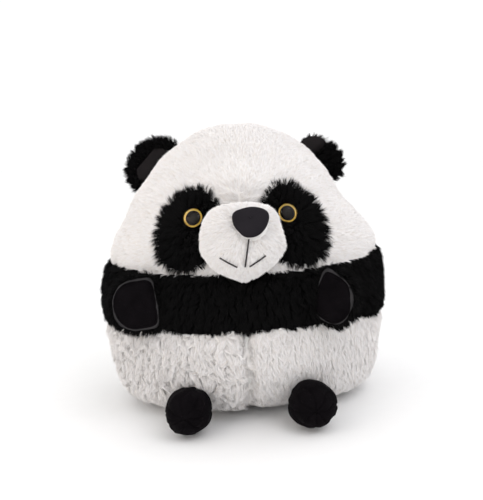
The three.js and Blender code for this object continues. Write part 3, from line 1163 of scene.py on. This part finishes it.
@dataclass
class Ear:
    """An ear: a plush back that rolls over the rim, and a smooth lining in the hollow."""

    side: Side
    half_width: float
    reach: float
    slide: float
    fold: bool
    thickness: float = 0.0115
    root: float = 0.007
    lean: float = 46.0
    rows: int = 90
    columns: int = 130
    pile: Pile = Pile(length=7 * MM, lean=50, tuft=5 * MM, gather=0.5, swirl=0.5, wild=0.25)

    def frame(self) -> Matrix:
        """From the ear's own axes (X along the seam, Z out of the head) to the scene."""
        place = Matrix.Translation(hinge(f"ear_{self.side.word}_flex"))
        return place @ Matrix.Rotation(math.radians(self.side.value * self.lean), 4, "Y")

    def shape(self, ball: Array) -> Array:
        """Turns unit ball points into the ear, creased where it is folded.

        Args:
            ball: Points of the unit ball.

        Returns:
            Their places on the ear.
        """
        crease = np.exp(-(((ball[..., 0] + 0.22) / 0.13) ** 2)) * self.fold
        x = self.half_width * ball[..., 0] + self.slide
        z = np.maximum(self.reach * ball[..., 2] * (1.0 - 0.14 * crease), -self.root)
        hollow = 3.0 * MM * (1 - ball[..., 0] ** 2) * np.clip(1 - ball[..., 2] ** 2, 0, 1)
        y = self.thickness / 2 * ball[..., 1] + np.where(ball[..., 1] < 0, hollow * -ball[..., 1], hollow * 0.5)
        curl = 4.0 * MM * smooth(-0.15, -0.9, ball[..., 0]) * self.fold
        return np.stack([x, y + 3.5 * MM * crease * (ball[..., 1] < 0) - curl, z], axis=-1)

    def build(self, wear: Wardrobe) -> Pieces:
        """Makes the ear's back and lining.

        Args:
            wear: The finishes.

        Returns:
            The pieces that stand for each node.
        """
        sheet = ball_sheet(self.rows, self.columns, self.shape)
        sheet.push(0.4 * MM * waves(sheet.points.reshape(-1, 3), 0.013, 90).reshape(sheet.points.shape[:-1]))
        sheet = placed(sheet, self.frame())
        ball = ball_sheet(self.rows, self.columns, lambda points: points).centres()
        if self.fold:
            lining = (ball[:, 1] < 0.25) & (ball[:, 2] > -0.6) & (ball[:, 0] < -0.22)
        else:
            lining = (ball[:, 1] < -0.75) & (np.abs(ball[:, 2] - 0.1) < 0.4)
        word = self.side.word
        roots, normals = sheet.scatter(~lining, self.pile.density, np.random.default_rng(200 + self.side.value))
        outward = np.array(self.frame().to_3x3())[:, 2]
        comb = np.tile(outward, (len(roots), 1)) * 0.7 + np.array([0, 0, -0.3])
        fur = self.pile.grow(f"ear_{word}_pile", roots, normals, comb, wear.black_strands, 210 + self.side.value)
        return {
            f"ear_{word}_back": [sheet.object(f"ear_{word}_back_skin", ~lining, wear.black_backing), fur],
            f"ear_{word}_lining": [sheet.object(f"ear_{word}_lining_cloth", lining, wear.ear_nap)],
        }


@dataclass
class Arm:
    """An arm: a flat stuffed flipper with a smooth palm and a plush back."""

    side: Side
    heading: float
    droop: float
    length: float = 0.042
    height: float = 0.054
    thickness: float = 0.020
    rim: float = 0.30
    edging: float = 0.13
    rows: int = 120
    columns: int = 160
    pile: Pile = Pile(length=8 * MM, lean=52, tuft=5.5 * MM, gather=0.5, swirl=0.6, wild=0.25)

    def frame(self) -> Matrix:
        """From the arm's own axes (X to the tip, palm on -Y) to the scene.

        Returns:
            The matrix.
        """
        place = Matrix.Translation(hinge(f"arm_{self.side.word}_swing"))
        turn = self.heading - 90 if self.side is Side.LEFT else -90 - self.heading
        flip = Matrix.Scale(self.side.value, 4, Vector((0, 1, 0)))
        drop = Matrix.Rotation(math.radians(self.droop), 4, "Y")
        return place @ Matrix.Rotation(math.radians(turn), 4, "Z") @ flip @ drop

    def build(self, wear: Wardrobe) -> Pieces:
        """Makes the palm, the back and the filling.

        Args:
            wear: The finishes.

        Returns:
            The pieces that stand for each node.
        """
        sheet = ball_sheet(self.rows, self.columns, self.shape)
        lump = 0.8 * MM * waves(sheet.points.reshape(-1, 3), 0.022, 71 + self.side.value)
        lump += 0.35 * MM * (1.0 - np.abs(waves(sheet.points.reshape(-1, 3), 0.012, 75)))
        sheet.push(lump.reshape(sheet.points.shape[:-1]))
        sheet = placed(sheet, self.frame())
        ball = ball_sheet(self.rows, self.columns, lambda points: points)
        if self.side is Side.RIGHT:
            sheet = Sheet(sheet.points[:, ::-1])
            ball = Sheet(ball.points[:, ::-1])
        depth = ball.centres()[:, 1]
        palm = depth < -self.rim
        # Rim faces of the palm take the lighter seam finish: the real seam with a painted highlight along the edge.
        edge = palm & (depth > -self.rim - self.edging)
        word = self.side.word
        roots, normals = sheet.scatter(~palm, self.pile.density, np.random.default_rng(220 + self.side.value))
        outward = np.array(self.frame().to_3x3())[:, 0]
        comb = np.tile(outward * 0.6, (len(roots), 1)) + np.array([0, 0, -0.8])
        fur = self.pile.grow(f"arm_{word}_pile", roots, normals, comb, wear.black_strands, 230 + self.side.value)
        core = np.array([self.length, self.thickness, self.height]) * 0.3
        filling = ball_sheet(*CORE_GRID, lambda points: points * core + np.array([self.length * 0.5, 0.0, 0.0]))
        filling = placed(filling, self.frame())
        return {
            f"arm_{word}_back": [sheet.object(f"arm_{word}_back_skin", ~palm, wear.black_backing), fur],
            f"arm_{word}_palm": [
                sheet.object(f"arm_{word}_palm_cloth", palm, wear.velboa, edge, wear.seam_edge),
            ],
            f"arm_{word}_stuffing": [filling.whole(f"arm_{word}_filling", wear.fibre)],
        }

    def shape(self, ball: Array) -> Array:
        """Turns unit ball points into a flipper, straight at its root, with a seam ridge near its rim.

        Args:
            ball: Points of the unit ball.

        Returns:
            Their places on the arm.
        """
        reach = np.hypot(ball[..., 0], ball[..., 2])
        turn = np.arctan2(ball[..., 2], ball[..., 0])
        toward = np.cos(turn) > 0
        power = np.where(toward, 2.1, 6.0)
        wide = np.where(toward, 0.55, 0.50) * self.length
        tall = self.height / 2 * 0.95
        edge = ((np.abs(np.cos(turn)) / wide) ** power + (np.abs(np.sin(turn)) / tall) ** power) ** (-1 / power)
        face = np.abs(ball[..., 1]) ** 0.8 * np.sign(ball[..., 1])
        y = self.thickness / 2 * np.where(face < 0, 0.75, 0.8) * face
        seam = 0.9 * MM * (np.exp(-(((reach - 0.84) / 0.04) ** 2)) - np.exp(-(((reach - 0.93) / 0.03) ** 2)))
        x = self.length * 0.45 + reach * edge * np.cos(turn)
        return np.stack([x, y + seam * (face < 0), reach * edge * np.sin(turn)], axis=-1)


@dataclass(frozen=True)
class Stuffed:
    """How a closed cloth form is filled out by simulation."""

    voxel: float = 2.2 * MM
    pressure: float = 12.0
    shrink: float = -0.06
    last_frame: int = 20
    cap: float = 4.0 * MM

    def fill(self, form: Object) -> None:
        """Remeshes a closed form, swells it as cloth under pressure, and applies the result with one subdivision.

        Args:
            form: The closed form, which is changed in place.
        """
        scene, view = bpy.context.scene, bpy.context.view_layer
        view.objects.active = form
        remesh = form.modifiers.new("even_mesh", "REMESH")
        remesh.mode = "VOXEL"
        remesh.voxel_size = self.voxel
        bpy.ops.object.modifier_apply(modifier=remesh.name)
        start = self.places(form.data)
        cloth = form.modifiers.new("filling", "CLOTH")
        cloth.settings.use_pressure = True
        cloth.settings.uniform_pressure_force = self.pressure
        cloth.settings.shrink_min = self.shrink
        cloth.settings.effector_weights.gravity = 0.0
        cloth.collision_settings.use_self_collision = False
        cloth.point_cache.frame_end = self.last_frame
        for number in range(1, self.last_frame + 1):
            scene.frame_set(number)
        swollen = form.evaluated_get(bpy.context.evaluated_depsgraph_get())
        move = self.places(swollen.data) - start
        form.modifiers.remove(cloth)
        scene.frame_set(1)
        far = np.linalg.norm(move, axis=1, keepdims=True)
        capped = start + move * np.minimum(1.0, self.cap / np.maximum(far, 1e-9))
        form.data.vertices.foreach_set("co", capped.astype(np.float32).ravel())
        form.data.update()
        finer = form.modifiers.new("finer", "SUBSURF")
        finer.levels = 1
        bpy.ops.object.modifier_apply(modifier=finer.name)

    @staticmethod
    def places(mesh: bpy.types.Mesh) -> Array:
        """Vertex places of a mesh.

        Args:
            mesh: The mesh.

        Returns:
            The places, one row each.
        """
        flat = np.empty(len(mesh.vertices) * 3, np.float32)
        mesh.vertices.foreach_get("co", flat)
        return flat.reshape(-1, 3).astype(np.float64)


def parted(
    form: Object, names: dict[bool, str], inside: Callable[[Array], Array], material: Material
) -> dict[bool, Object]:
    """Parts a closed form into two panels along a seam.

    Args:
        form: The form, which is removed.
        names: The names of the panel inside the seam (True) and outside it.
        inside: Which face centres are inside.
        material: The material of both.

    Returns:
        The two panels.
    """
    points = Stuffed.places(form.data)
    faces = [tuple(face.vertices) for face in form.data.polygons]
    bpy.data.objects.remove(form)
    middles = np.array([points[list(face)].mean(axis=0) for face in faces])
    within = inside(middles)
    made = {}
    for choice, name in names.items():
        chosen = [face for face, own in zip(faces, within) if own == choice]
        used, corners = np.unique(np.concatenate([np.array(face) for face in chosen]), return_inverse=True)
        counts = np.array([len(face) for face in chosen])
        made[choice] = make_object(name, points[used], corners, counts, [material])
    return made


@dataclass
class Foot:
    """A foot: a round stuffed stub of smooth cloth, gathered and wrinkled."""

    side: Side
    form: BodyForm
    width: float = 0.047
    length: float = 0.056
    height: float = 0.047
    out: float = 0.024
    down: float = 0.0075
    rows: int = 140
    columns: int = 200
    gather: float = 2.0 * MM
    wrinkle: float = 0.7 * MM
    seam: float = 0.9 * MM
    stuffed: Stuffed = Stuffed()

    def frame(self) -> Matrix:
        """From the foot's own axes (-Y to the toe) to the scene.

        Returns:
            The matrix.
        """
        place = hinge(f"foot_{self.side.word}_flex")
        turn = self.form.around(place.z, place.x) / 2
        return Matrix.Translation(place) @ Matrix.Rotation(turn, 4, "Z")

    def build(self, wear: Wardrobe) -> Pieces:
        """Makes the upper, the sole and the filling.

        Args:
            wear: The finishes.

        Returns:
            The pieces that stand for each node.
        """
        half = np.array([self.width, self.length, self.height]) / 2

        def shape(ball: Array) -> Array:
            """Turns unit ball points into the foot."""
            return ball * half + np.array([0.0, -self.out, -self.down])

        seed = 80 + self.side.value
        sheet = ball_sheet(self.rows, self.columns, shape)
        lump = 1.1 * MM * waves(sheet.points.reshape(-1, 3), 0.035, seed) - 1.5 * MM
        sheet.push(lump.reshape(sheet.points.shape[:-1]))
        word = self.side.word
        form = sheet.whole(f"foot_{word}_form", wear.velboa)
        self.stuffed.fill(form)
        creased = self.creased(Stuffed.places(form.data), half, seed)
        form.data.vertices.foreach_set("co", creased.astype(np.float32).ravel())
        frame = self.frame()
        form.data.transform(frame)
        back = np.array(frame.inverted())
        names = {True: f"foot_{word}_sole_cloth", False: f"foot_{word}_upper_cloth"}

        def beneath(middles: Array) -> Array:
            """Which places in the scene lie under the foot's edge seam."""
            return (middles @ back[:3, :3].T + back[:3, 3])[:, 2] < -self.down

        panels = parted(form, names, beneath, wear.velboa)
        filling = placed(ball_sheet(*CORE_GRID, lambda points: shape(points * 0.5)), frame)
        return {
            f"foot_{word}_upper": [panels[False]],
            f"foot_{word}_sole": [panels[True]],
            f"foot_{word}_stuffing": [filling.whole(f"foot_{word}_filling", wear.fibre)],
        }

    def creased(self, points: Array, half: Array, seed: int) -> Array:
        """The filled foot with gathers that meet at the toe, fine wrinkles and the seam round its edge.

        Args:
            points: Places on the filled foot, in its own axes.
            half: Half width, length and height of the foot.
            seed: Which wrinkles to use.

        Returns:
            The places, drawn in where the cloth is creased.
        """
        ball = unit((points + np.array([0.0, self.out, self.down])) / half)
        turn = np.arctan2(ball[:, 2] - 0.1, ball[:, 0] + 0.15 * self.side.value)
        wander = 0.9 * waves(points, 0.03, seed + 9)
        gather = (1.0 - np.abs(np.sin(3.5 * turn + wander))) ** 3 * smooth(0.1, 0.55, -ball[:, 1])
        wrinkle = np.abs(waves(points, 0.016, seed + 3))
        seam = np.exp(-((ball[:, 2] / 0.045) ** 2))
        depth = self.gather * gather + self.wrinkle * wrinkle + self.seam * seam
        return points - ball * depth[:, None]


# ---------------------------------------------------------------- studio


@dataclass
class Studio:
    """Floor, lights and camera."""

    distance: float = 0.88
    elevation: float = 8.0
    yaw: float = 0.3
    roll: float = 3.0
    lens: float = 57.6
    middle: Spot = (0.0, 0.0, 0.143)
    sky: float = 1.05
    above: float = 0.0154

    def light(self, name: str, place: Spot, size: float, watts: float, colour: Colour) -> Object:
        """Adds a soft square light aimed at the panda.

        Args:
            name: Name of the light.
            place: Where it stands.
            size: Length of its sides.
            watts: Its power.
            colour: Its colour.

        Returns:
            The light.
        """
        lamp = bpy.data.lights.new(name, "AREA")
        lamp.size = size
        lamp.energy = watts
        lamp.color = colour
        made = bpy.data.objects.new(name, lamp)
        made.location = place
        made.rotation_euler = (Vector(self.middle) - Vector(place)).to_track_quat("-Z", "Y").to_euler()
        bpy.context.collection.objects.link(made)
        return made

    def build(self) -> None:
        """Makes the floor, the world, the lights and the camera."""
        corners = np.array([[-WIDE, -WIDE, 0], [WIDE, -WIDE, 0], [WIDE, WIDE, 0], [-WIDE, WIDE, 0]])
        pale = Finish("studio_floor", (0.97, 0.97, 0.97), (0.96, 0.96, 0.96), grain=0.004, bump=0.02).make()
        floor = make_object("floor", corners, np.arange(4), np.array([4]), [pale])
        world = bpy.data.worlds.new("studio")
        world.use_nodes = True
        world.node_tree.nodes["Background"].inputs["Color"].default_value = (1.0, 1.0, 1.0, 1.0)
        world.node_tree.nodes["Background"].inputs["Strength"].default_value = self.sky
        scene = bpy.context.scene
        scene.world = world
        scene.view_settings.view_transform = "Standard"
        self.light("key", (0.9, -1.3, 1.6), 1.2, 10.0, (0.97, 0.955, 1.0))
        self.light("fill", (-1.3, -1.1, 0.7), 1.2, 5.0, (1.0, 0.87, 0.75))
        catch = self.light("catchlight", (-0.45, -1.4, 0.95), 0.35, 18.0, (1.0, 1.0, 1.0))
        catch.visible_diffuse = False
        yaw, rise = math.radians(self.yaw), math.radians(self.elevation)
        back = Vector((-math.sin(yaw) * math.cos(rise), -math.cos(yaw) * math.cos(rise), math.sin(rise)))
        turn = back.to_track_quat("Z", "Y").to_matrix()
        up = turn @ Vector((0, 1, 0))
        lens = bpy.data.cameras.new("camera")
        lens.lens = self.lens
        camera = bpy.data.objects.new("camera", lens)
        aim = Vector(self.middle) + up * self.above
        rolled = turn.to_4x4() @ Matrix.Rotation(math.radians(-self.roll), 4, "Z")
        camera.matrix_world = Matrix.Translation(aim + back * self.distance) @ rolled
        bpy.context.collection.objects.link(camera)
        scene.camera = camera


def stand_in(pieces: Pieces, body: str, slot: Callable[[str], Slot]) -> None:
    """Lets new pieces move with a body and stand for their nodes.

    Args:
        pieces: The pieces that stand for each node.
        body: The body they move with.
        slot: Gives a node's material slot.
    """
    for node, made in pieces.items():
        for piece in made:
            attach(piece, body)
            slot(node).value
        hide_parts(node)
        slot(node) in STUFFED
        LOG.info("%s: %s", node, ", ".join(piece.name for piece in made))


def slot_of(node: str) -> Slot:
    """The material slot of a node."""
    given = {part["node"]: part["material_slot"] for part in frame["record"]["subparts"]}
    return Slot(given[node])


def main() -> None:
    """Builds the panda, piece by piece."""
    logging.basicConfig(level=logging.INFO, format="%(message)s")
    wear = Wardrobe()
    form = BodyForm()
    muzzle = Muzzle(form)
    nose = Nose(muzzle)
    eyes = [Eye(side, form) for side in Side]
    body = BodyCover(form, muzzle, nose, eyes)
    stand_in(body.build(wear), "body", slot_of)
    stand_in({"body_stuffing": [body.filling(wear)]}, "body", slot_of)
    stand_in({"muzzle_panel": muzzle.build(wear, nose)}, "body", slot_of)
    stand_in({"nose_pad": nose.build(wear)}, "body", slot_of)
    for eye in eyes:
        word = eye.side.word
        names = (f"eye_{word}_lens", f"eye_{word}_iris", f"eye_{word}_pupil_post")
        stand_in({name: [made] for name, made in zip(names, eye.build(wear))}, "body", slot_of)
    ears = {
        Side.LEFT: Ear(Side.LEFT, half_width=0.028, reach=0.021, slide=-3.0 * MM, fold=True),
        Side.RIGHT: Ear(Side.RIGHT, half_width=0.033, reach=0.027, slide=4.0 * MM, fold=False),
    }
    arms = {
        Side.LEFT: Arm(Side.LEFT, heading=46.0, droop=28.0),
        Side.RIGHT: Arm(Side.RIGHT, heading=84.0, droop=5.0),
    }
    for side in Side:
        stand_in(ears[side].build(wear), f"ear_{side.word}", slot_of)
        stand_in(arms[side].build(wear), f"arm_{side.word}", slot_of)
        stand_in(Foot(side, form).build(wear), f"foot_{side.word}", slot_of)
    finishes = {Slot.THREAD: wear.thread, Slot.WASHER: wear.washer, Slot.FIBRE: wear.fibre}
    for part in frame["record"]["subparts"]:
        slot = Slot(part["material_slot"])
        if slot in finishes:
            frame["nodes"][part["node"]].data.materials.clear()
            frame["nodes"][part["node"]].data.materials.append(finishes[slot])
    Studio().build()


if __name__ == "__main__":
    main()
